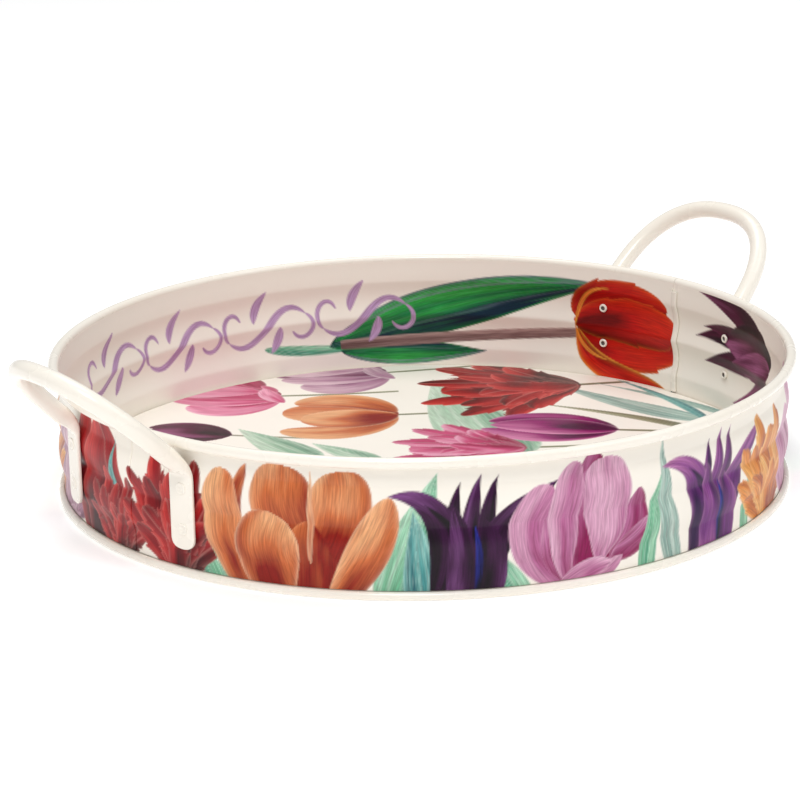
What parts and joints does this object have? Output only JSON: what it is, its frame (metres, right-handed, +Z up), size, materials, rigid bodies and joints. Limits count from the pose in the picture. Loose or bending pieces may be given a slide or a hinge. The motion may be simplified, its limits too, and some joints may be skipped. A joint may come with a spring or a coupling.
{
  "type": "serving tray",
  "caption": "Round enamelled tinplate serving tray with a beaded upright wall, a rolled rim and two riveted bent-tube bow handles.",
  "frame": {"origin": "on the surface the tray stands on, under the middle of the tray", "axes": "+Z up out of the tray, +X out through the right handle"},
  "size_m": [0.4776, 0.3898, 0.1066],
  "materials": {
    "wall_print": "gloss",
    "floor_print": "gloss",
    "cream_enamel": "gloss",
    "painted_rivet": "satin"
  },
  "bodies": {
    "root": {"base_pan": "floor_print", "wall_back": "wall_print", "wall_front": "wall_print", "handle_right": "cream_enamel", "handle_left": "cream_enamel", "rivet_right_back_lower": "painted_rivet", "rivet_right_back_upper": "painted_rivet", "rivet_right_front_lower": "painted_rivet", "rivet_right_front_upper": "painted_rivet", "rivet_left_back_lower": "painted_rivet", "rivet_left_back_upper": "painted_rivet", "rivet_left_front_lower": "painted_rivet", "rivet_left_front_upper": "painted_rivet"}
  },
  "joints": []
}
